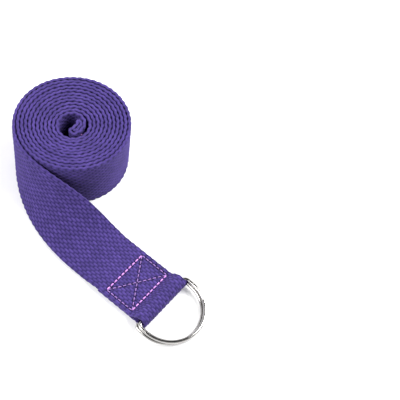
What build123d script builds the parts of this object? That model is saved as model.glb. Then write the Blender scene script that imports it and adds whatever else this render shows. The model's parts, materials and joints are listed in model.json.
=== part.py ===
from build123d import *
from math import atan2, cos, degrees, hypot, radians, sin
import os

# A stretching strap: one length of woven cotton webbing, rolled up on its edge, whose outer end
# twists flat onto the table and is folded and sewn round the bars of two steel D-rings.
# Millimetres. Z is up and the table is Z = 0.

# ---------------------------------------------------------------- webbing
webbing_width = 38.0
webbing_thickness = 2.0
half_thickness = webbing_thickness / 2

# ---------------------------------------------------------------- roll
roll_x = -20.736  # the roll's axis stands here, so that the whole strap is centred on the origin
roll_y = 50.356
roll_outer_radius = 38.0
roll_turn_pitch = 2.543
first_angle = 90.0  # degrees, where the even winding starts, just after the hem
full_turns = 11
leave_angle = 178.0  # degrees, where the tail leaves the outermost turn
winding_angle = full_turns * 360 + leave_angle - first_angle
winding_spans = 12  # pieces that the winding's outline is drawn in
span_points = 24  # points of each piece's curves
bulge_angle = 255.0  # degrees, the side where the thick hem pushes the inner turns outwards
bulge_height = 2.6
core_shift = 0.8  # how far the inner turns sit towards -Y of the outer ones

# ---------------------------------------------------------------- hem at the inner end
hem_layers = 3  # the end is folded over twice
hem_looseness = 0.5  # between the hem's layers, in all
hem_length = 14.5  # of the folded part
hem_seam_inset = 7.0  # from the outer fold to the row of stitches
# Centre line of the innermost stretch about the roll's axis, from the winding to the hem's fold.
hem_route = [(4.5, 5.7), (6.9, 1.6), (6.5, -3.0), (3.3, -7.1), (-1.4, -10.0)]
hem_parts = 4  # pieces that each stretch of the hem's outline is drawn in

# ---------------------------------------------------------------- tail
bend_radius = 113.5  # of the tail's lower edge on the table
bend_angle = 48.0  # degrees, after which the tail runs straight
tail_reach = 156.0  # along the lower edge, from the roll to the outside of the end fold
twist_start = 3.0  # the webbing turns from standing to lying between these distances
twist_end = 120.0
ramp_length = 14.0  # over which the lying webbing climbs onto its own end
tail_stations = 26

# ---------------------------------------------------------------- D-rings
wire_diameter = 2.5
wire_radius = wire_diameter / 2
ring_inner_width = 41.0
bow_radius = ring_inner_width / 2 + wire_radius  # centre line of the round side
ring_corner_radius = 3.0  # centre line
leg_length = 3.35  # straight stretch between a corner and the round side
ring_reach = ring_corner_radius + leg_length + bow_radius  # bar to far side, centre lines
fold_gap = 0.2  # between a bar and the webbing round it
bar_stagger = 1.2  # the lower bar lies this much deeper in the loop than the upper bar
bar_rise = 2.5  # the upper bar lies this much above the lower one
lower_ring_shift = -1.1  # along the bar
upper_ring_shift = -0.2

# ---------------------------------------------------------------- loop round the bars
loop_corner = 1.6  # inner radius of the fold's two bends
loop_crest = 4.2  # level stretch over the bars
near_seam = 13.2  # from the fold to the stitch line next to the rings
far_seam = 33.6
flap_length = 38.5  # from the fold to the webbing's hidden cut end
loop_foot = 1.6  # bend radius of the centre line where the loop meets the sewn layers
loop_run_out = 1.7  # short level stretch there

# ---------------------------------------------------------------- stitches
box_width = 32.4
box_shift = -0.1  # of the sewn box from the middle of the webbing
stitch_pitch = 3.1
stitch_length = 2.1
thread_width = 0.7
thread_depth = 0.2  # how far a stitch is pulled into the webbing
thread_height = 0.25  # how far it stands out of it
under_thread_depth = 0.4  # the thread on the underside lies flush in its groove
hem_seam_margin = 3.0  # from the webbing's edges to the ends of the hem's seam


def smooth(value):
    """Eases from 0 to 1 as value goes from 0 to 1."""
    value = min(max(value, 0.0), 1.0)
    return value * value * (3 - 2 * value)


def roll_point(turned, outward):
    """Point outward of the winding's centre line, turned degrees after its inner start."""
    end_radius = roll_outer_radius - half_thickness
    radius = end_radius - roll_turn_pitch * (winding_angle - turned) / 360
    slack = 1 - turned / winding_angle
    angle = radians(first_angle + turned)
    bulge = (1 + cos(angle - radians(bulge_angle))) / 2
    radius += slack * bulge_height * bulge**2
    x = roll_x + (radius + outward) * cos(angle)
    y = roll_y + (radius + outward) * sin(angle) - slack * core_shift
    return (x, y)


def beside(line, share, distance):
    """The point at a share of a line's length, moved to the line's left by distance."""
    return line @ share + (line % share).rotate(Axis.Z, 90) * distance


def band_outline(one_side, other_side):
    """Draws the outline of a band between two rows of points that run the same way."""
    near = Spline(*one_side)
    far = Spline(*other_side)
    Line(near @ 0, far @ 0)
    Line(near @ 1, far @ 1)


def corners_beside(corners, distance):
    """The corners of a line that runs left of a line of straight stretches, by distance."""
    steps = [(after - before).normalized() for before, after in zip(corners, corners[1:])]
    lefts = [step.rotate(Axis.Z, 90) for step in steps]
    lefts = lefts[:1] + lefts + lefts[-1:]
    return [
        corner + (one + other) * (distance / (1 + one.dot(other)))
        for corner, one, other in zip(corners, lefts, lefts[1:])
    ]


def lower_edge(distance):
    """Middle of the webbing's lower edge, and its heading in degrees, along the tail."""
    start_radius = roll_outer_radius - half_thickness
    x = roll_x + start_radius * cos(radians(leave_angle))
    y = roll_y + start_radius * sin(radians(leave_angle))
    start_heading = leave_angle + 90
    turned = min(degrees(distance / bend_radius), bend_angle)
    straight = max(distance - radians(bend_angle) * bend_radius, 0.0)
    heading = start_heading + turned
    x += bend_radius * (sin(radians(heading)) - sin(radians(start_heading)))
    y -= bend_radius * (cos(radians(heading)) - cos(radians(start_heading)))
    x += straight * cos(radians(heading))
    y += straight * sin(radians(heading))
    return x, y, heading


def tail_plane(distance):
    """Section plane of the tail: x across the webbing from its lower edge, z along it."""
    x, y, heading = lower_edge(distance)
    twist = radians(90 * smooth((distance - twist_start) / (twist_end - twist_start)))
    sideways = Vector(-sin(radians(heading)), cos(radians(heading)), 0)
    across = Vector(0, 0, cos(twist)) + sideways * sin(twist)
    climb = smooth((distance - flap_start + ramp_length) / ramp_length)
    lift = half_thickness * sin(twist) + webbing_thickness * climb
    centre = Vector(x, y, lift) + across * (webbing_width / 2)
    forward = Vector(cos(radians(heading)), sin(radians(heading)), 0)
    return Plane(origin=centre, x_dir=across, z_dir=forward)


def stitch_rows():
    """The sewn rows, as pairs of ends in the end frame: a box and its two diagonals."""
    left = box_shift + box_width / 2
    right = box_shift - box_width / 2
    corners = [(-near_seam, right), (-near_seam, left), (-far_seam, left), (-far_seam, right)]
    rows = list(zip(corners, corners[1:] + corners[:1]))
    rows.append((corners[0], corners[2]))
    rows.append((corners[1], corners[3]))
    return rows


def draw_stitches(start, end):
    """Sketches one row of stitches, evenly spaced between its two ends."""
    along_x = end[0] - start[0]
    along_y = end[1] - start[1]
    length = hypot(along_x, along_y)
    count = round(length / stitch_pitch)
    places = [
        (start[0] + along_x * (i + 0.5) / count, start[1] + along_y * (i + 0.5) / count)
        for i in range(count)
    ]
    with Locations(*places):
        SlotOverall(stitch_length, thread_width, rotation=degrees(atan2(along_y, along_x)))


def draw_thread_line(start, end):
    """Sketches one unbroken run of thread between two ends."""
    along_x = end[0] - start[0]
    along_y = end[1] - start[1]
    with Locations(((start[0] + end[0]) / 2, (start[1] + end[1]) / 2)):
        SlotOverall(
            hypot(along_x, along_y) + thread_width,
            thread_width,
            rotation=degrees(atan2(along_y, along_x)),
        )


# The end frame: origin on the table under the outside of the end fold, x out of the strap's end,
# y across the webbing, z up.
flap_start = tail_reach - flap_length
edge_x, edge_y, end_heading = lower_edge(tail_reach)
end_x = edge_x - webbing_width / 2 * sin(radians(end_heading))
end_y = edge_y + webbing_width / 2 * cos(radians(end_heading))
end_forward = Vector(cos(radians(end_heading)), sin(radians(end_heading)), 0)
end_floor = Plane(origin=(end_x, end_y, 0), x_dir=end_forward, z_dir=(0, 0, 1))
sewn_top = 2 * webbing_thickness

# The two bars, as distances behind the fold and heights.
upper_bar_x = -(webbing_thickness + fold_gap + wire_radius)
lower_bar_x = upper_bar_x - bar_stagger
lower_bar_z = webbing_thickness + fold_gap + wire_radius
upper_bar_z = lower_bar_z + bar_rise

# The space inside the loop is high enough for the upper bar to roll over the lower one.
loop_ceiling = lower_bar_z + hypot(bar_stagger, bar_rise) + wire_radius + fold_gap
crest_back = upper_bar_x - loop_crest
loop_start = near_seam - thread_width * 2
end_side = Plane(origin=end_floor.origin, x_dir=end_forward, z_dir=-end_floor.y_dir)

# Both rings lean forward until the round side of the lower one rests on the table.
ring_drop = (lower_bar_z - wire_radius) / ring_reach


def ring_plane(bar_x, bar_z, shift):
    """Plane of a D-ring: origin in the middle of its bar, x towards its round side."""
    lean = ring_drop
    level = (1 - lean * lean) ** 0.5
    side = end_floor.y_dir
    outward = end_forward * level - Vector(0, 0, lean)
    return Plane(
        origin=end_floor.origin + end_forward * bar_x + side * shift + Vector(0, 0, bar_z),
        x_dir=outward,
        z_dir=outward.cross(side),
    )


def draw_ring_line():
    """The closed centre line of a D-ring's wire: bar, two corners, two legs and the bow."""
    corner = ring_corner_radius
    side = bow_radius
    bar = Line((0, 0), (0, side - corner))
    JernArc(bar @ 1, (0, 1), corner, -90)
    upper_leg = Line((corner, side), (corner + leg_length, side))
    bow = JernArc(upper_leg @ 1, (1, 0), bow_radius, -180)
    lower_leg = Line(bow @ 1, (corner, -side))
    JernArc(lower_leg @ 1, (-1, 0), corner, -90)
    Line((0, corner - side), (0, 0))


# ================================================================ webbing
os.makedirs("parts", exist_ok=True)

# The winding: an even spiral, pushed out on one side by the hem inside it.
span_angle = winding_angle / winding_spans

with BuildPart() as webbing_roll:
    with BuildSketch():
        for span in range(winding_spans):
            turns = [span_angle * (span + i / span_points) for i in range(span_points + 1)]
            with BuildLine():
                band_outline(
                    [roll_point(turned, -half_thickness) for turned in turns],
                    [roll_point(turned, half_thickness) for turned in turns],
                )
            make_face()
    extrude(amount=webbing_width)

webbing_roll.part.label = "webbing_roll"
export_step(webbing_roll.part, "parts/webbing_roll.step")

# The innermost stretch, folded over twice at the free end and sewn across.
inner_line = [roll_point(0, 0)] + [(roll_x + x, roll_y + y) for x, y in hem_route]
with BuildLine():
    hem_centre = Spline(*inner_line, tangents=[(1, 0), (-1, -0.6)])

fold_start = 1 - hem_length / hem_centre.length
hem_inside = half_thickness - hem_layers * webbing_thickness - hem_looseness
hem_stretches = [(0, fold_start, -half_thickness), (fold_start, 1, hem_inside)]

seam_share = 1 - hem_seam_inset / hem_centre.length
seam_outward = (hem_centre % seam_share).rotate(Axis.Z, 90)
needle_face = beside(hem_centre, seam_share, half_thickness)
bobbin_face = beside(hem_centre, seam_share, hem_inside)
hem_seam_planes = {
    "hem_needle_thread": Plane(origin=needle_face, x_dir=(0, 0, 1), z_dir=seam_outward),
    "hem_bobbin_thread": Plane(origin=bobbin_face, x_dir=(0, 0, 1), z_dir=-seam_outward),
}
hem_seam = ((hem_seam_margin, 0), (webbing_width - hem_seam_margin, 0))

with BuildPart() as webbing_hem:
    for begin, end, inward in hem_stretches:
        shares = [begin + (end - begin) * i / hem_parts for i in range(hem_parts + 1)]
        with BuildSketch():
            with BuildLine():
                band_outline(
                    [beside(hem_centre, share, half_thickness) for share in shares],
                    [beside(hem_centre, share, inward) for share in shares],
                )
            make_face()
        extrude(amount=webbing_width)
    for plane in hem_seam_planes.values():
        with BuildSketch(plane.offset(-thread_depth)):
            draw_stitches(*hem_seam)
        extrude(amount=thread_depth + thread_height, mode=Mode.SUBTRACT)

webbing_hem.part.label = "webbing_hem"
export_step(webbing_hem.part, "parts/webbing_hem.step")

# The tail: it leaves the roll standing on its edge, twists flat, and climbs onto the flap.
with BuildPart() as webbing_tail:
    for i in range(tail_stations + 1):
        with BuildSketch(tail_plane(flap_start * i / tail_stations)):
            Rectangle(webbing_width, webbing_thickness)
    loft()
    with BuildSketch(end_floor.offset(webbing_thickness)):
        with Locations(((-flap_length - loop_start) / 2, 0)):
            Rectangle(flap_length - loop_start, webbing_width)
    extrude(amount=webbing_thickness)
    with BuildSketch(end_floor.offset(sewn_top - thread_depth)):
        for row in stitch_rows():
            draw_stitches(*row)
    extrude(amount=thread_depth, mode=Mode.SUBTRACT)

webbing_tail.part.label = "webbing_tail"
export_step(webbing_tail.part, "parts/webbing_tail.step")

# The loop: up over the bars, down the fold, and back underneath to the hidden cut end.
crest_height = loop_ceiling + half_thickness
loop_corners = [
    Vector(-flap_length, half_thickness),
    Vector(-half_thickness, half_thickness),
    Vector(-half_thickness, crest_height),
    Vector(crest_back, crest_height),
    Vector(-loop_start + loop_run_out, sewn_top - half_thickness),
    Vector(-loop_start, sewn_top - half_thickness),
]

space_corners = corners_beside(loop_corners, half_thickness)[1:-1]
outer_corners = corners_beside(loop_corners, -half_thickness)
loop_bends = [(corner, loop_corner) for corner in space_corners[:3]]
loop_bends += [(corner, loop_corner + webbing_thickness) for corner in outer_corners[1:4]]
loop_bends += [(outer_corners[4], loop_foot - half_thickness)]

with BuildPart() as webbing_loop:
    with BuildSketch(end_side) as loop_profile:
        with BuildLine():
            Polyline(
                *outer_corners,
                (-loop_start, webbing_thickness),
                (-flap_length, webbing_thickness),
                close=True,
            )
        make_face()
        with BuildLine():
            Polyline(*space_corners, close=True)
        make_face(mode=Mode.SUBTRACT)
        for corner, radius in loop_bends:
            fillet(loop_profile.vertices().sort_by_distance(corner)[:1], radius)
    extrude(amount=webbing_width / 2, both=True)
    with BuildSketch(end_floor):
        for row in stitch_rows():
            draw_thread_line(*row)
    extrude(amount=under_thread_depth, mode=Mode.SUBTRACT)

webbing_loop.part.label = "webbing_loop"
export_step(webbing_loop.part, "parts/webbing_loop.step")

# ================================================================ threads
with BuildPart() as box_needle_thread:
    with BuildSketch(end_floor.offset(sewn_top - thread_depth)):
        for row in stitch_rows():
            draw_stitches(*row)
    extrude(amount=thread_depth + thread_height)

box_needle_thread.part.label = "box_needle_thread"
export_step(box_needle_thread.part, "parts/box_needle_thread.step")

with BuildPart() as box_bobbin_thread:
    with BuildSketch(end_floor):
        for row in stitch_rows():
            draw_thread_line(*row)
    extrude(amount=under_thread_depth)

box_bobbin_thread.part.label = "box_bobbin_thread"
export_step(box_bobbin_thread.part, "parts/box_bobbin_thread.step")

for name, plane in hem_seam_planes.items():
    with BuildPart() as hem_thread:
        with BuildSketch(plane.offset(-thread_depth)):
            draw_stitches(*hem_seam)
        extrude(amount=thread_depth + thread_height)
    hem_thread.part.label = name
    export_step(hem_thread.part, f"parts/{name}.step")

# ================================================================ D-rings
ring_planes = {
    "d_ring_lower": ring_plane(lower_bar_x, lower_bar_z, lower_ring_shift),
    "d_ring_upper": ring_plane(upper_bar_x, upper_bar_z, upper_ring_shift),
}
for name, plane in ring_planes.items():
    with BuildPart() as d_ring:
        with BuildLine(plane):
            draw_ring_line()
        with BuildSketch(Plane(origin=plane.origin, x_dir=plane.x_dir, z_dir=plane.y_dir)):
            Circle(wire_radius)
        sweep()
    d_ring.part.label = name
    export_step(d_ring.part, f"parts/{name}.step")
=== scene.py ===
import json
import math

import bpy
import numpy as np
from mathutils import Matrix, Vector


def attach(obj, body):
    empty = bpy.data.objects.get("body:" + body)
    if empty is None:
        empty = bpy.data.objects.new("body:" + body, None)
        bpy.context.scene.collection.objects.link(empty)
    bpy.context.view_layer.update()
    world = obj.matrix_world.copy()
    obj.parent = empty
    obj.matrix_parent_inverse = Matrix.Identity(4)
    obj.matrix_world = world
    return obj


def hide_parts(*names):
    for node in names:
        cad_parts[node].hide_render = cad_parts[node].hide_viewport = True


# A rolled stretching strap. Lengths below are in millimetres until a mesh is made, and
# distances along the strap start at the cut edge of the hem in the middle of the roll.
MM = 0.001

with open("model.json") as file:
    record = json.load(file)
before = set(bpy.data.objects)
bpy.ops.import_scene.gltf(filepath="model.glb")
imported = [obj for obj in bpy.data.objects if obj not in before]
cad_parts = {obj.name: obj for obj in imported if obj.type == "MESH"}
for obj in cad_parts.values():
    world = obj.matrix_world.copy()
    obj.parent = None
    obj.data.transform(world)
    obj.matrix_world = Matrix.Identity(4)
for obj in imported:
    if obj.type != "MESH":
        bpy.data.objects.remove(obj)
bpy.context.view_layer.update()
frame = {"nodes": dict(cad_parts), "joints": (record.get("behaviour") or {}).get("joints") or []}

# ---------------------------------------------------------------- sizes shared with the CAD
WEBBING_WIDTH = 38.0
THICKNESS = 2.0
ROLL_RADIUS = 38.0
TURN_PITCH = 2.543
FIRST_ANGLE = 90.0
LEAVE_ANGLE = 178.0
WINDING_ANGLE = 11 * 360 + LEAVE_ANGLE - FIRST_ANGLE
BULGE_ANGLE = 255.0
BULGE_HEIGHT = 2.6
CORE_SHIFT = 0.8
HEM_ROUTE = [(4.5, 5.7), (6.9, 1.6), (6.5, -3.0), (3.3, -7.1), (-1.4, -10.0)]
HEM_LENGTH = 14.5
HEM_SEAM_INSET = 7.0
HEM_GAP = 2.25  # between the middles of the folded end's layers
BEND_RADIUS = 113.5
BEND_ANGLE = 48.0
TAIL_REACH = 156.0
TWIST_START = 3.0
TWIST_END = 120.0
RAMP_LENGTH = 14.0
FLAP_LENGTH = 38.5
NEAR_SEAM = 13.2
FAR_SEAM = 33.6
BOX_WIDTH = 32.4
BOX_SHIFT = -0.1
HEM_SEAM_MARGIN = 3.0  # from the webbing's edges to the ends of the hem's seam
STITCH_PITCH = 3.1
LOOP_CEILING = 7.67
UPPER_BAR_X = -3.45
LOWER_BAR_X = -4.65
LOWER_RING_SHIFT = -1.1

# ---------------------------------------------------------------- folds
FLAP_HEIGHT = 1.0  # middle of the layer on the table
SEWN_HEIGHT = 3.0  # middle of the layer on top of it
FOLD_X = -1.0  # middle of the webbing at the end fold
CREST_RISE = 0.8  # of the webbing's middle over the loop's ceiling
CREST_BACK = 3.2  # from the upper bar to the back of the crest
LOOP_FOOT_X = -11.6  # where the loop starts to rise
LOOP_BENDS = [2.2, 3.4, 3.0, 2.5]  # radii, from the foot to the lower corner of the fold
HEM_SAMPLES = 400
HEM_SWELL = 0.25  # of the hem's inner layer, between its folds

# Each turn of the roll sits a little higher or lower than the next.
TURN_RISE = 0.32
SLOW_RISE, SLOW_RISE_LENGTH = 0.22, 19
QUICK_RISE, QUICK_RISE_LENGTH = 0.12, 7.3
RISE_EASED_IN, RISE_EASED_OUT = 60, 40  # lengths at the two ends of the roll

# ---------------------------------------------------------------- weave
WARP_ROWS = 22
SAMPLES_PER_ROW = 4
FLOAT_PERIOD = 4.4  # along a warp row, from one dip to the next
FLOAT_SHARPNESS = 2.3  # of the hump that a float makes; higher is flatter
FLOATS_DRAWN = 700  # random floats in a row, after which they repeat
ROW_ROUNDNESS = 0.94
FACE_HALF = 18.5  # the faces' half width, without the rounded selvages
FACE_LEVEL = 0.62  # of the dips, from the middle of the webbing
FACE_RELIEF = 0.52  # from the dips to the top of a float
SKEW = math.tan(math.radians(6))
SEAM_DENT = 0.75  # what a row of stitches takes off the faces' height, which also paints the dents with shade
SEAM_DENT_WIDTH = 0.75
SEWN_STRETCH = 60  # the seam's dents are looked for from this far before the loop

# The selvages are a row of beads. Each edge offset is a share of the bead's reach and a side.
EDGE_OFFSETS = [(0.16, 1), (0.52, 0.8), (0.60, 0), (0.52, -0.8), (0.16, -1)]
BEAD_SHARPNESS = 1.5
SELVAGE_HALF, BEAD_SWELL = 0.68, 0.42  # half thickness between beads, and what a bead adds
SELVAGE_REACH, BEAD_REACH = 0.80, 0.26  # how far it stands out, and what a bead adds
# A bead top's place on the painted shade-and-highlight scale, below a float's, so that the selvages,
# which the lamps overhead light more, are painted less bright.
BEAD_PAINTED_LIGHT = 0.80

# ---------------------------------------------------------------- mesh steps along the strap
FINE_STEP = 0.55
COARSE_STEP = 0.7
FINE_AFTER_HEM = 62  # the innermost turn is seen through the open middle
FINE_BEFORE_TAIL = 245  # so is the outermost one, from outside
COARSE_COLUMNS = 8  # every how many columns are kept inside the roll, apart from the edges

# ---------------------------------------------------------------- thread
STITCH_LENGTH = 2.1
STITCH_RADIUS = 0.46
DEEP_STITCH_RADIUS = 0.33  # of the side rows and the diagonals, which lie deeper
STITCH_REACH = 0.82  # from the webbing's middle to a stitch's, on a face
SUNK_STITCH_REACH = 0.62
UNDER_STITCH_HEIGHT = 0.42
# Ranges of the stitches' tone: the thinner rows, which lie deeper, take the low range, which the
# thread's ramp makes darker and bluer.
FULL_STITCH_TONES = (0.7, 1)
DEEP_STITCH_TONES = (0, 0.3)
RANDOM = np.random.RandomState(7)


def smooth(value):
    value = np.clip(value, 0, 1)
    return value * value * (3 - 2 * value)


def unit(vectors):
    return vectors / np.linalg.norm(vectors, axis=-1, keepdims=True)


def clamped_spline(points, start_slope, end_slope, count):
    """A cubic curve through points with given end directions, sampled count times."""
    points = np.array(points, float)
    gaps = np.linalg.norm(np.diff(points, axis=0), axis=1)
    knots = np.concatenate([[0], np.cumsum(gaps)])
    size = len(points)
    matrix = np.zeros((size, size))
    right = np.zeros((size, 2))
    matrix[0, 0] = matrix[-1, -1] = 1
    right[0] = unit(np.array(start_slope, float))
    right[-1] = unit(np.array(end_slope, float))
    for i in range(1, size - 1):
        before, after = gaps[i - 1], gaps[i]
        matrix[i, i - 1 : i + 2] = after, 2 * (before + after), before
        rise_before = (points[i] - points[i - 1]) / before
        rise_after = (points[i + 1] - points[i]) / after
        right[i] = 3 * (after * rise_before + before * rise_after)
    slopes = np.linalg.solve(matrix, right)
    at = np.linspace(0, knots[-1], count)
    span = np.clip(np.searchsorted(knots, at, side="right") - 1, 0, size - 2)
    gap = gaps[span][:, None]
    t = ((at - knots[span]) / gaps[span])[:, None]
    return (
        (2 * t**3 - 3 * t**2 + 1) * points[span]
        + (t**3 - 2 * t**2 + t) * gap * slopes[span]
        + (3 * t**2 - 2 * t**3) * points[span + 1]
        + (t**3 - t**2) * gap * slopes[span + 1]
    )


def running_length(points):
    steps = np.linalg.norm(np.diff(points, axis=0), axis=1)
    return np.concatenate([[0], np.cumsum(steps)])


def rounded_path(corners, radii, step=0.15):
    """Points along a polyline in a plane whose inner corners are rounded to the radii."""
    corners = [np.array(c, float) for c in corners]
    found = [corners[0]]
    for before, corner, after, radius in zip(corners, corners[1:], corners[2:], radii):
        back, ahead = unit(before - corner), unit(after - corner)
        half = math.acos(np.clip(back @ ahead, -1, 1)) / 2
        centre = corner + unit(back + ahead) * radius / math.sin(half)
        start = corner + back * radius / math.tan(half) - centre
        end = corner + ahead * radius / math.tan(half) - centre
        sweep = math.atan2(start[0] * end[1] - start[1] * end[0], start @ end)
        count = max(3, int(abs(sweep) * radius / step))
        for i in range(count + 1):
            turn = sweep * i / count
            c, s = math.cos(turn), math.sin(turn)
            found.append(centre + np.array([c * start[0] - s * start[1], s * start[0] + c * start[1]]))
    found.append(corners[-1])
    return np.array(found)


# ---------------------------------------------------------------- the strap's line
# About the roll's axis: x and y as in the frame, z up from the table.
def winding_centre(turned):
    radius = ROLL_RADIUS - THICKNESS / 2 - TURN_PITCH * (WINDING_ANGLE - turned) / 360
    slack = 1 - turned / WINDING_ANGLE
    angle = np.radians(FIRST_ANGLE + turned)
    bulge = (1 + np.cos(angle - math.radians(BULGE_ANGLE))) / 2
    radius = radius + slack * BULGE_HEIGHT * bulge**2
    return np.stack([radius * np.cos(angle), radius * np.sin(angle) - slack * CORE_SHIFT], axis=1)


def lower_edge(distance):
    start = ROLL_RADIUS - THICKNESS / 2
    x = start * math.cos(math.radians(LEAVE_ANGLE))
    y = start * math.sin(math.radians(LEAVE_ANGLE))
    first = math.radians(LEAVE_ANGLE + 90)
    turned = np.minimum(distance / BEND_RADIUS, math.radians(BEND_ANGLE))
    straight = np.maximum(distance - math.radians(BEND_ANGLE) * BEND_RADIUS, 0.0)
    heading = first + turned
    x = x + BEND_RADIUS * (np.sin(heading) - math.sin(first)) + straight * np.cos(heading)
    y = y - BEND_RADIUS * (np.cos(heading) - math.cos(first)) + straight * np.sin(heading)
    return x, y, heading


def fold_between(middle, start, end, count=14):
    """Half a turn about middle from start to end, bulging towards their left."""
    out = np.array([middle[1] - start[1], start[0] - middle[0]])
    turn = np.linspace(0, math.pi, count)[1:-1, None]
    return middle + np.cos(turn) * (start - middle) + np.sin(turn) * out


def hem_line():
    """The end, folded over twice: its middle, inner and outer layers, and where its seam is."""
    first = winding_centre(np.array([0.0]))[0]
    centre = clamped_spline([first] + HEM_ROUTE, (1, 0), (-1, -0.6), HEM_SAMPLES)
    along = running_length(centre)
    tangent = unit(np.gradient(centre, axis=0))
    left = np.stack([-tangent[:, 1], tangent[:, 0]], axis=1)
    tip = np.searchsorted(along, along[-1] - HEM_GAP - THICKNESS / 2)
    top = np.searchsorted(along, along[-1] - HEM_LENGTH)
    seam = np.searchsorted(along, along[-1] - HEM_SEAM_INSET)
    swell = np.sin(np.linspace(0, math.pi, tip - top))[:, None]
    middle = (centre - HEM_GAP * left)[top:tip][::-1]
    inner = (centre - 2 * HEM_GAP * left)[top:tip] - HEM_SWELL * swell * left[top:tip]
    top_fold = fold_between((middle[-1] + inner[0]) / 2, middle[-1], inner[0])
    tip_fold = fold_between((inner[-1] + centre[tip]) / 2, inner[-1], centre[tip])
    outer = centre[1:tip][::-1]
    hem = np.concatenate([middle, top_fold, inner, tip_fold, outer])
    inner_seam = len(middle) + len(top_fold) + seam - top
    outer_seam = len(hem) - seam
    return hem, inner_seam, outer_seam


hem, inner_seam_point, outer_seam_point = hem_line()
winding = winding_centre(np.arange(0, WINDING_ANGLE, 0.5))
standing = np.concatenate([hem, winding])
line = np.concatenate([standing, np.full((len(standing), 1), WEBBING_WIDTH / 2)], axis=1)
across = np.tile([0.0, 0.0, 1.0], (len(line), 1))

standing_length = running_length(line)
eased = np.clip(standing_length / RISE_EASED_IN, 0, 1)
eased = eased * np.clip((standing_length[-1] - standing_length) / RISE_EASED_OUT, 0, 1)
slow_rise = SLOW_RISE * np.sin(standing_length / SLOW_RISE_LENGTH)
quick_rise = QUICK_RISE * np.sin(standing_length / QUICK_RISE_LENGTH + 1)
line[:, 2] += eased * (TURN_RISE + slow_rise + quick_rise)

flap_start = TAIL_REACH - FLAP_LENGTH
distance = np.arange(0, TAIL_REACH - NEAR_SEAM, 0.4)
x, y, heading = lower_edge(distance)
twist = math.pi / 2 * smooth((distance - TWIST_START) / (TWIST_END - TWIST_START))
sideways = np.stack([-np.sin(heading), np.cos(heading), 0 * heading], axis=1)
tail_across = np.array([0, 0, 1.0]) * np.cos(twist)[:, None] + sideways * np.sin(twist)[:, None]
climb = smooth((distance - flap_start + RAMP_LENGTH) / RAMP_LENGTH)
lift = THICKNESS / 2 * np.sin(twist) + THICKNESS * climb
tail = np.stack([x, y, lift], axis=1) + tail_across * WEBBING_WIDTH / 2

edge_x, edge_y, end_heading = lower_edge(np.array([TAIL_REACH]))
end_heading = float(end_heading[0])
FORWARD = np.array([math.cos(end_heading), math.sin(end_heading), 0.0])
SIDE = np.array([-math.sin(end_heading), math.cos(end_heading), 0.0])
UP = np.array([0.0, 0.0, 1.0])
END = np.array([edge_x[0], edge_y[0], 0.0]) + SIDE * WEBBING_WIDTH / 2

loop = rounded_path(
    [
        (-NEAR_SEAM, SEWN_HEIGHT),
        (LOOP_FOOT_X, SEWN_HEIGHT),
        (UPPER_BAR_X - CREST_BACK, LOOP_CEILING + CREST_RISE),
        (FOLD_X, LOOP_CEILING + CREST_RISE),
        (FOLD_X, FLAP_HEIGHT),
        (-FLAP_LENGTH, FLAP_HEIGHT),
    ],
    LOOP_BENDS,
)
loop_line = END + loop[:, :1] * FORWARD + loop[:, 1:] * UP

line = np.concatenate([line, tail, loop_line])
across = np.concatenate([across, tail_across, np.tile(SIDE, (len(loop_line), 1))])
smallest_step = 0.02  # stretches meet in the same point, which is kept once
spacing = np.linalg.norm(np.diff(line, axis=0), axis=1)
kept = np.concatenate([[True], spacing > smallest_step])
line, across = line[kept], across[kept]
length_along = running_length(line)
STRAP_LENGTH = float(length_along[-1])

hem_end = float(standing_length[len(hem)])
loop_begins = float(length_along[-1] - running_length(loop_line)[-1])

# The frame holds the lower D-ring's pivot: it says where the roll's axis stands.
pivot = next(j for j in frame["joints"] if j["child"] == "lower_ring")["pos_m"]
local_pivot = END + LOWER_BAR_X * FORWARD + LOWER_RING_SHIFT * SIDE
ROLL_AXIS = np.array([pivot[0] / MM - local_pivot[0], pivot[1] / MM - local_pivot[1], 0.0])


def at_length(lengths):
    """Centre, across and face directions of the strap at distances along it."""
    centre = np.stack([np.interp(lengths, length_along, line[:, i]) for i in range(3)], axis=1)
    side = unit(np.stack([np.interp(lengths, length_along, across[:, i]) for i in range(3)], axis=1))
    before = np.stack([np.interp(lengths - 0.5, length_along, line[:, i]) for i in range(3)], axis=1)
    after = np.stack([np.interp(lengths + 0.5, length_along, line[:, i]) for i in range(3)], axis=1)
    return centre, side, unit(np.cross(after - before, side))


# ---------------------------------------------------------------- stitches of the box seam
def box_rows():
    right, left = BOX_SHIFT - BOX_WIDTH / 2, BOX_SHIFT + BOX_WIDTH / 2
    corners = [(-NEAR_SEAM, right), (-NEAR_SEAM, left), (-FAR_SEAM, left), (-FAR_SEAM, right)]
    rows = list(zip(corners, corners[1:] + corners[:1]))
    return rows + [(corners[0], corners[2]), (corners[1], corners[3])]


def row_distance(forward, side):
    """Distance of points in the end frame from the nearest sewn row."""
    nearest = np.full(np.shape(forward), 99.0)
    for (x0, y0), (x1, y1) in box_rows():
        dx, dy = x1 - x0, y1 - y0
        t = np.clip(((forward - x0) * dx + (side - y0) * dy) / (dx * dx + dy * dy), 0, 1)
        nearest = np.minimum(nearest, np.hypot(forward - x0 - t * dx, side - y0 - t * dy))
    return nearest


# ---------------------------------------------------------------- the strap's mesh
FACE_COLUMNS = WARP_ROWS * SAMPLES_PER_ROW + 1
RING_SIZE = 2 * FACE_COLUMNS + 2 * len(EDGE_OFFSETS)

face_at = np.linspace(-FACE_HALF, FACE_HALF, FACE_COLUMNS)
float_height = RANDOM.uniform(0.82, 1.0, (2, WARP_ROWS, FLOATS_DRAWN))
float_tone = RANDOM.uniform(0, 1, (2, WARP_ROWS, FLOATS_DRAWN))


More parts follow.
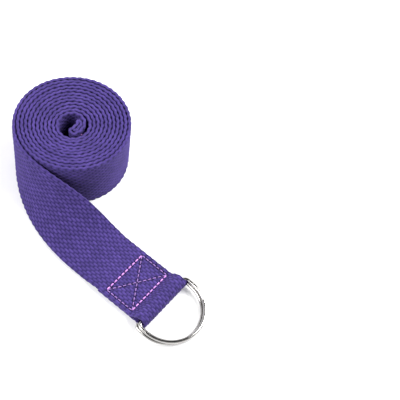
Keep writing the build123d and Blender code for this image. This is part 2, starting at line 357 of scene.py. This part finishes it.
def face_relief(lengths, side):
    """Height and tone of one woven face (side 0 is the outer one)."""
    column = np.arange(FACE_COLUMNS)
    row = np.minimum(column // SAMPLES_PER_ROW, WARP_ROWS - 1)
    inside = (column - row * SAMPLES_PER_ROW) / SAMPLES_PER_ROW - 0.5
    cross = np.sqrt(np.clip(1 - (2 * inside) ** 2 * ROW_ROUNDNESS, 0, 1))
    phase = 0.5 * (row % 2) + face_at * SKEW / FLOAT_PERIOD + 0.5 * side
    place = lengths[:, None] / FLOAT_PERIOD + phase[None, :] + 1
    number = np.floor(place).astype(int)
    t = place - number
    hump = 1 - np.abs(2 * t - 1) ** FLOAT_SHARPNESS
    picked = (side, np.broadcast_to(row, number.shape), number % FLOATS_DRAWN)
    height = hump * cross[None, :] * float_height[picked]
    return height, float_tone[picked]


def strap_points(lengths):
    """Every station's ring of points, with what the material needs at each: yarn places, heights for
    painted shade and highlight, and tones.
    """
    centre, side, normal = at_length(lengths)
    rings = np.zeros((len(lengths), RING_SIZE, 2))
    yarn = np.zeros((len(lengths), RING_SIZE, 3))
    painted_shade_and_highlight = np.zeros((len(lengths), RING_SIZE))
    tone = np.zeros((len(lengths), RING_SIZE))
    edges = len(EDGE_OFFSETS)
    outer = slice(0, FACE_COLUMNS)
    top = slice(FACE_COLUMNS, FACE_COLUMNS + edges)
    inner = slice(FACE_COLUMNS + edges, 2 * FACE_COLUMNS + edges)
    bottom = slice(2 * FACE_COLUMNS + edges, RING_SIZE)
    offset = centre - END
    forward = (offset @ FORWARD)[:, None]
    sewn = lengths[:, None] > loop_begins - SEWN_STRETCH
    for number, (part, flip) in enumerate(((outer, 1), (inner, -1))):
        height, shade = face_relief(lengths, number)
        lying = np.where(sewn, row_distance(forward, face_at[None, :]), 99.0)
        height = height - SEAM_DENT * np.exp(-((lying / SEAM_DENT_WIDTH) ** 2))
        level = FACE_LEVEL + FACE_RELIEF * height
        rings[:, part, 0] = face_at[None, ::flip]
        rings[:, part, 1] = flip * level[:, ::flip]
        # The float heights, with the seam's dents, also paint shade in the dips and a highlight on the
        # tops.
        painted_shade_and_highlight[:, part] = height[:, ::flip]
        tone[:, part] = shade[:, ::flip]
    for part, flip, row, column in ((top, 1, WARP_ROWS - 1, -1), (bottom, -1, 0, 0)):
        lean = face_at[column] * SKEW / FLOAT_PERIOD
        place = lengths / FLOAT_PERIOD + 0.5 * (row % 2) + lean + 1
        outer_bead = 1 - np.abs(2 * (place % 1) - 1) ** BEAD_SHARPNESS
        inner_bead = 1 - np.abs(2 * ((place + 0.5) % 1) - 1) ** BEAD_SHARPNESS
        shade = float_tone[0, row, place.astype(int) % FLOATS_DRAWN]
        for i, (out, through) in enumerate(EDGE_OFFSETS):
            bead = outer_bead if through * flip > 0 else inner_bead
            bead = np.maximum(outer_bead, inner_bead) if through == 0 else bead
            spread = SELVAGE_HALF + BEAD_SWELL * bead if through else 0.0
            reach = SELVAGE_REACH + BEAD_REACH * bead
            rings[:, part.start + i, 0] = flip * (FACE_HALF + out * reach)
            rings[:, part.start + i, 1] = flip * np.sign(through) * spread
            # A bead's top is painted lighter, and the gap between beads is painted with shade.
            painted_shade_and_highlight[:, part.start + i] = BEAD_PAINTED_LIGHT * bead
            tone[:, part.start + i] = shade
    points = (
        centre[:, None, :]
        + rings[:, :, :1] * side[:, None, :]
        + rings[:, :, 1:] * normal[:, None, :]
    )
    yarn[:, :, 0] = lengths[:, None]
    yarn[:, :, 1] = rings[:, :, 0]
    yarn[:, :, 2] = rings[:, :, 1]
    return points, yarn, painted_shade_and_highlight, tone


def set_material(piece, material):
    piece.data.materials.clear()
    piece.data.materials.append(material)


def new_piece(name, vertices, faces, body, material):
    mesh = bpy.data.meshes.new(name)
    mesh.from_pydata((np.asarray(vertices) * MM).tolist(), [], faces)
    mesh.update()
    mesh.polygons.foreach_set("use_smooth", np.ones(len(mesh.polygons), bool))
    piece = bpy.data.objects.new(name, mesh)
    bpy.context.scene.collection.objects.link(piece)
    set_material(piece, material)
    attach(piece, body)
    return piece


def set_attribute(mesh, name, kind, values):
    field = "vector" if kind == "FLOAT_VECTOR" else "value"
    attribute = mesh.attributes.new(name, kind, "POINT")
    attribute.data.foreach_set(field, np.ravel(values).astype(np.float32))


def coarse_columns():
    """The ring's points that are kept inside the roll: the selvages, and a few of each face."""
    near = 2 * SAMPLES_PER_ROW
    last = FACE_COLUMNS - 1
    edges = len(EDGE_OFFSETS)
    kept = [k for k in range(FACE_COLUMNS) if k <= near or k >= last - near or k % COARSE_COLUMNS == 0]
    top = [FACE_COLUMNS + i for i in range(edges)]
    inner = [FACE_COLUMNS + edges + last - k for k in reversed(kept)]
    bottom = [2 * FACE_COLUMNS + edges + i for i in range(edges)]
    return np.array(kept + top + inner + bottom)


def faces_between(start, count, next_start, next_count, coarse):
    """Faces from one station's ring to the next, given their first vertices and their sizes."""
    if count == next_count:
        here = start + np.arange(count)
        there = next_start + np.arange(count)
        return np.stack([here, there, np.roll(there, -1), np.roll(here, -1)], axis=1).tolist()
    growing = count < next_count
    few, many = (start, next_start) if growing else (next_start, start)
    faces = []
    for j, column in enumerate(coarse):
        following = (j + 1) % len(coarse)
        stop = coarse[following] if following else RING_SIZE
        row = [int(many + k % RING_SIZE) for k in range(column, stop + 1)]
        polygon = row + [int(few + following), int(few + j)]
        faces.append(polygon if growing else polygon[::-1])
    return faces


def build_strap(material):
    """One closed mesh: finely woven where it shows, and only at its selvages inside the roll."""
    fine_until = hem_end + FINE_AFTER_HEM
    fine_again = standing_length[-1] - FINE_BEFORE_TAIL
    first = np.arange(0, fine_until, FINE_STEP)
    middle = np.arange(fine_until, fine_again, COARSE_STEP)
    last = np.append(np.arange(fine_again, STRAP_LENGTH, FINE_STEP), STRAP_LENGTH)
    points, yarn, painted_shade_and_highlight, tone = strap_points(np.concatenate([first, middle, last]))
    points = points + ROLL_AXIS
    coarse = coarse_columns()
    fine = np.arange(RING_SIZE)
    columns = [fine] * len(first) + [coarse] * len(middle) + [fine] * len(last)
    sizes = [len(kept) for kept in columns]
    starts = np.cumsum([0] + sizes)
    picked = (np.repeat(np.arange(len(columns)), sizes), np.concatenate(columns))
    faces = []
    for i in range(len(columns) - 1):
        faces += faces_between(starts[i], sizes[i], starts[i + 1], sizes[i + 1], coarse)
    faces.append((starts[0] + fine).tolist())
    faces.append((starts[-2] + fine)[::-1].tolist())
    piece = new_piece("strap_webbing", points[picked], faces, "strap", material)
    set_attribute(piece.data, "yarn", "FLOAT_VECTOR", yarn[picked])
    # The heights that the material paints shade and highlight with.
    set_attribute(piece.data, "painted_shade_and_highlight", "FLOAT", painted_shade_and_highlight[picked])
    set_attribute(piece.data, "tone", "FLOAT", tone[picked])
    return piece


# ---------------------------------------------------------------- thread
def tube(points, radii, ups, sides=8):
    """Vertices and faces of a closed tube along points."""
    points = np.asarray(points, float)
    tangents = unit(np.gradient(points, axis=0))
    vertices, faces = [], []
    for i, (point, tangent, radius) in enumerate(zip(points, tangents, radii)):
        sideways = unit(np.cross(tangent, ups))
        upwards = np.cross(sideways, tangent)
        for j in range(sides):
            angle = 2 * math.pi * j / sides
            vertices.append(point + radius * (math.cos(angle) * sideways + math.sin(angle) * upwards))
    for i in range(len(points) - 1):
        for j in range(sides):
            k = (j + 1) % sides
            faces.append([i * sides + j, i * sides + k, (i + 1) * sides + k, (i + 1) * sides + j])
    faces.append(list(range(sides))[::-1])
    faces.append([(len(points) - 1) * sides + j for j in range(sides)])
    return vertices, faces


def stitch_set(name, places, replaced, material):
    """One piece holding separate stitches, each a middle, a direction, an up side and a radius."""
    vertices, faces, tones = [], [], []
    for middle, along, up, radius in places:
        length = STITCH_LENGTH * RANDOM.uniform(0.94, 1.04)
        lean = RANDOM.uniform(-0.05, 0.05)
        along = unit(along + lean * np.cross(up, along))
        t = np.linspace(-1, 1, 9)
        rise = 0.30 * (1 - np.abs(t) ** 2.6) - 0.42 * np.abs(t) ** 6
        path = middle + t[:, None] * along * length / 2 + rise[:, None] * up
        radii = radius * (1 - 0.35 * np.abs(t) ** 4)
        made, sides = tube(path, radii, up)
        faces += [[v + len(vertices) for v in face] for face in sides]
        vertices += made
        # Stitches thinner than the full radius, which lie deeper, are coloured darker.
        tone = RANDOM.uniform(*(DEEP_STITCH_TONES if radius < STITCH_RADIUS else FULL_STITCH_TONES))
        tones += [tone] * len(made)
    piece = new_piece(name, np.array(vertices) + ROLL_AXIS, faces, "strap", material)
    set_attribute(piece.data, "tone", "FLOAT", tones)
    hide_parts(replaced)
    return piece


def box_stitch_places(height, up):
    """The box seam's stitches at a height; up is 1 on top and -1 underneath."""
    places = []
    for (x0, y0), (x1, y1) in box_rows():
        radius = STITCH_RADIUS if x0 == x1 else DEEP_STITCH_RADIUS
        sunk = STITCH_RADIUS - radius
        count = round(math.hypot(x1 - x0, y1 - y0) / STITCH_PITCH)
        along = unit((x1 - x0) * FORWARD + (y1 - y0) * SIDE)
        for i in range(count):
            t = (i + 0.5) / count
            middle = END + (x0 + t * (x1 - x0)) * FORWARD + (y0 + t * (y1 - y0)) * SIDE
            places.append((middle + (height - up * sunk) * UP, along, up * UP, radius))
    return places


def hem_stitch_places(point, reach):
    """The hem's seam, from edge to edge, on the face that reach points out of."""
    seam_width = WEBBING_WIDTH - 2 * HEM_SEAM_MARGIN
    count = round(seam_width / STITCH_PITCH)
    centre, side, normal = at_length(standing_length[[point]])
    places = []
    for i in range(count):
        up = (i + 0.5) / count * seam_width - seam_width / 2
        middle = centre[0] + up * side[0] + reach * normal[0]
        places.append((middle, side[0], normal[0] * np.sign(reach), STITCH_RADIUS))
    return places


# ---------------------------------------------------------------- materials
class Nodes:
    """A short way to write a material's node tree."""

    def __init__(self, name):
        self.material = bpy.data.materials.new(name)
        self.material.use_nodes = True
        self.tree = self.material.node_tree
        self.shader = self.tree.nodes["Principled BSDF"]

    def add(self, kind, inputs=None, **settings):
        node = self.tree.nodes.new(kind)
        for key, value in settings.items():
            setattr(node, key, value)
        for key, value in (inputs or {}).items():
            if isinstance(value, bpy.types.NodeSocket):
                self.tree.links.new(value, node.inputs[key])
            else:
                node.inputs[key].default_value = value
        return node

    def ramp(self, factor, stops):
        node = self.add("ShaderNodeValToRGB", {0: factor})
        ramp = node.color_ramp
        while len(ramp.elements) < len(stops):
            ramp.elements.new(0.5)
        for element, (place, colour) in zip(ramp.elements, stops):
            element.position = place
            element.color = (*colour, 1)
        return node.outputs[0]

    def mix(self, factor, a, b, blend="MIX"):
        values = {0: factor, 6: a, 7: b}
        node = self.add("ShaderNodeMix", values, data_type="RGBA", blend_type=blend)
        return node.outputs[2]

    def noise(self, place, scale, detail, roughness=0.5):
        values = {"Vector": place, "Scale": scale, "Detail": detail, "Roughness": roughness}
        return self.add("ShaderNodeTexNoise", values).outputs["Fac"]

    def link(self, value, socket):
        self.tree.links.new(value, self.shader.inputs[socket])

    def bump(self, height, strength, distance):
        values = {"Height": height, "Strength": strength, "Distance": distance}
        self.link(self.add("ShaderNodeBump", values).outputs[0], "Normal")


def webbing_material():
    m = Nodes("purple_cotton_webbing")
    yarn = m.add("ShaderNodeAttribute", attribute_name="yarn").outputs["Vector"]
    painted_shade_and_highlight = m.add("ShaderNodeAttribute", attribute_name="painted_shade_and_highlight").outputs["Fac"]
    tone = m.add("ShaderNodeAttribute", attribute_name="tone").outputs["Fac"]
    place = m.add("ShaderNodeTexCoord").outputs["Object"]
    # Fibres run along the yarns, at the slant of their twist.
    twist = {"Vector": yarn, "Rotation": (0, 0, 0.32), "Scale": (0.9, 7.5, 3)}
    twisted = m.add("ShaderNodeMapping", twist).outputs[0]
    fibre = m.noise(twisted, 1.0, 4, 0.6)
    fuzz = m.noise(place, 2600.0, 3, 0.65)
    cloud = m.noise(place, 55.0, 3)
    body = m.ramp(fibre, [(0.28, (0.036, 0.0225, 0.125)), (0.72, (0.069, 0.043, 0.228))])
    each = m.ramp(tone, [(0, (0.80, 0.80, 0.82)), (1, (1.12, 1.12, 1.10))])
    body = m.mix(1.0, body, each, "MULTIPLY")
    soft = m.ramp(cloud, [(0.3, (0.9, 0.9, 0.92)), (0.7, (1.08, 1.07, 1.05))])
    body = m.mix(1.0, body, soft, "MULTIPLY")
    lint = m.ramp(fuzz, [(0.55, (0, 0, 0)), (0.8, (1, 1, 1))])
    lint = m.add("ShaderNodeMath", {0: lint, 1: 0.16}, operation="MULTIPLY").outputs[0]
    body = m.mix(lint, body, (0.13, 0.10, 0.30, 1))
    # Painted shade and highlight by the weave's height: the dips, the gaps between selvage beads and
    # the seam's dents are painted darker, the tops of floats and beads lighter.
    shade_and_highlight_stops = [(0.0, (0.22, 0.2, 0.3)), (0.45, (0.8, 0.79, 0.82)), (0.9, (1.2, 1.2, 1.17))]
    m.link(m.mix(1.0, body, m.ramp(painted_shade_and_highlight, shade_and_highlight_stops), "MULTIPLY"), "Base Color")
    m.link(m.ramp(fibre, [(0.2, (0.96, 0.96, 0.96)), (0.8, (0.82, 0.82, 0.82))]), "Roughness")
    grain = m.add("ShaderNodeMath", {0: fibre, 1: fuzz}, operation="ADD").outputs[0]
    m.bump(grain, 0.55, 0.00022)
    m.shader.inputs["Specular IOR Level"].default_value = 0.25
    m.shader.inputs["Sheen Weight"].default_value = 0.05
    m.shader.inputs["Sheen Roughness"].default_value = 0.55
    m.shader.inputs["Sheen Tint"].default_value = (0.60, 0.48, 0.95, 1)
    return m.material


def thread_material():
    m = Nodes("lilac_sewing_thread")
    place = m.add("ShaderNodeTexCoord").outputs["Object"]
    tone = m.add("ShaderNodeAttribute", attribute_name="tone").outputs["Fac"]
    wave = {"Vector": place, "Scale": 900.0, "Distortion": 2.0, "Detail": 2}
    ply = m.add("ShaderNodeTexWave", wave).outputs["Fac"]
    body = m.ramp(ply, [(0.2, (0.50, 0.20, 0.62)), (0.8, (0.78, 0.36, 0.90))])
    # The thinner, deeper rows are coloured darker and bluer; the rest keep the thread's colour.
    deep_stitch_stops = [(0, (0.36, 0.44, 0.50)), (0.3, (0.50, 0.58, 0.66))]
    full_stitch_stops = [(0.7, (0.92, 0.9, 0.95)), (1, (1.1, 1.08, 1.08))]
    m.link(m.mix(1.0, body, m.ramp(tone, deep_stitch_stops + full_stitch_stops), "MULTIPLY"), "Base Color")
    m.link(m.ramp(ply, [(0, (0.7, 0.7, 0.7)), (1, (0.5, 0.5, 0.5))]), "Roughness")
    m.bump(ply, 0.5, 0.00008)
    m.shader.inputs["Sheen Weight"].default_value = 0.15
    return m.material


def ring_material():
    m = Nodes("polished_nickel_wire")
    place = m.add("ShaderNodeTexCoord").outputs["Object"]
    drawn = m.noise(place, 420.0, 4, 0.6)
    wear = m.noise(place, 90.0, 3)
    m.link(m.ramp(wear, [(0.3, (0.40, 0.39, 0.38)), (0.7, (0.50, 0.49, 0.48))]), "Base Color")
    m.link(m.ramp(drawn, [(0.3, (0.05, 0.05, 0.05)), (0.75, (0.16, 0.16, 0.16))]), "Roughness")
    m.bump(drawn, 0.12, 0.0001)
    m.shader.inputs["Metallic"].default_value = 1.0
    return m.material


webbing = webbing_material()
thread = thread_material()
nickel = ring_material()

strap = build_strap(webbing)
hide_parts("webbing_roll", "webbing_hem", "webbing_tail", "webbing_loop")

box_top = box_stitch_places(SEWN_HEIGHT + STITCH_REACH, 1)
box_under = box_stitch_places(UNDER_STITCH_HEIGHT, -1)
hem_outside = hem_stitch_places(outer_seam_point, SUNK_STITCH_REACH)
hem_inside = hem_stitch_places(inner_seam_point, STITCH_REACH)
top_stitches = stitch_set("box_seam_stitches", box_top, "box_needle_thread", thread)
under_stitches = stitch_set("box_seam_under_stitches", box_under, "box_bobbin_thread", thread)
hem_out = stitch_set("hem_stitches_outside", hem_outside, "hem_needle_thread", thread)
hem_in = stitch_set("hem_stitches_inside", hem_inside, "hem_bobbin_thread", thread)

for name in ("d_ring_lower", "d_ring_upper"):
    set_material(frame["nodes"][name], nickel)

# ---------------------------------------------------------------- floor, lights and camera
FLOOR_SIZE = 12.0
FLOOR_HEIGHT = -0.0002
bpy.ops.mesh.primitive_plane_add(size=FLOOR_SIZE, location=(0, 0, FLOOR_HEIGHT))
floor = bpy.context.object
floor.name = "floor"
paper = Nodes("pale_paper")
place = paper.add("ShaderNodeTexCoord").outputs["Generated"]
grain = paper.noise(place, 900.0, 2)
paper.link(paper.ramp(grain, [(0.3, (0.90, 0.90, 0.90)), (0.7, (0.93, 0.93, 0.93))]), "Base Color")
paper.shader.inputs["Roughness"].default_value = 0.9
set_material(floor, paper.material)

# Colours are shown as they are, as in a catalogue picture.
bpy.context.scene.view_settings.view_transform = "Standard"

# A white studio, darker overhead, near the horizon and on the near side, which the polished
# wire shows as streaks. Behind the floor the camera sees plain white.
WALL_STRENGTH = 1.9
SEEN_LEVEL = 0.5
world = bpy.data.worlds.new("studio")
world.use_nodes = True
bpy.context.scene.world = world
tree = world.node_tree
background = tree.nodes["Background"]
direction = tree.nodes.new("ShaderNodeTexCoord")
split = tree.nodes.new("ShaderNodeSeparateXYZ")
tree.links.new(direction.outputs["Generated"], split.inputs[0])


def wall_ramp(axis, stops):
    """Brightness of the walls by one axis of the direction to them."""
    node = tree.nodes.new("ShaderNodeValToRGB")
    tree.links.new(split.outputs[axis], node.inputs[0])
    while len(node.color_ramp.elements) < len(stops):
        node.color_ramp.elements.new(0.5)
    for element, (place, level) in zip(node.color_ramp.elements, stops):
        element.position = place
        element.color = (level, level, level, 1)
    return node.outputs[0]


walls = tree.nodes.new("ShaderNodeMix")
walls.data_type = "RGBA"
walls.blend_type = "MULTIPLY"
walls.inputs[0].default_value = 1.0
by_height = wall_ramp("Z", [(0.16, 0.02), (0.28, 1.0), (0.58, 1.0), (0.70, 0.06)])
by_depth = wall_ramp("Y", [(0.0, 0.5), (0.30, 1.0)])
tree.links.new(by_height, walls.inputs[6])
tree.links.new(by_depth, walls.inputs[7])
seen = tree.nodes.new("ShaderNodeMix")
seen.data_type = "RGBA"
tree.links.new(tree.nodes.new("ShaderNodeLightPath").outputs["Is Camera Ray"], seen.inputs[0])
tree.links.new(walls.outputs[2], seen.inputs[6])
seen.inputs[7].default_value = (SEEN_LEVEL, SEEN_LEVEL, SEEN_LEVEL, 1)
tree.links.new(seen.outputs[2], background.inputs[0])
background.inputs[1].default_value = WALL_STRENGTH


def area_light(name, place, size, power):
    """A square light that faces the strap, in metres and watts."""
    data = bpy.data.lights.new(name, "AREA")
    data.shape = "SQUARE"
    data.size = size
    data.energy = power
    light = bpy.data.objects.new(name, data)
    light.location = place
    light.rotation_euler = (-Vector(place)).to_track_quat("-Z", "Y").to_euler()
    bpy.context.scene.collection.objects.link(light)


area_light("key", (0.65, 0.15, 0.70), size=0.6, power=15.0)
area_light("fill", (-0.70, -0.25, 0.60), size=0.6, power=10.0)

VIEW_FROM = np.array([0.0, -338.85, 487.90])  # from the roll's axis
VIEW_FORWARD = (0.14208, 0.52296, -0.84044)
VIEW_RIGHT = (0.98979, -0.08499, 0.11444)
camera_data = bpy.data.cameras.new("camera")
camera_data.sensor_width = 36.0
camera_data.lens = 78.912
camera_data.clip_start = 0.01
camera = bpy.data.objects.new("camera", camera_data)
bpy.context.scene.collection.objects.link(camera)
view_from = (ROLL_AXIS + VIEW_FROM) * MM
forward = Vector(VIEW_FORWARD).normalized()
right = Vector(VIEW_RIGHT)
right = (right - right.dot(forward) * forward).normalized()
up = right.cross(forward)
camera.matrix_world = Matrix((
    (right.x, up.x, -forward.x, view_from[0]),
    (right.y, up.y, -forward.y, view_from[1]),
    (right.z, up.z, -forward.z, view_from[2]),
    (0, 0, 0, 1),
))
bpy.context.scene.camera = camera
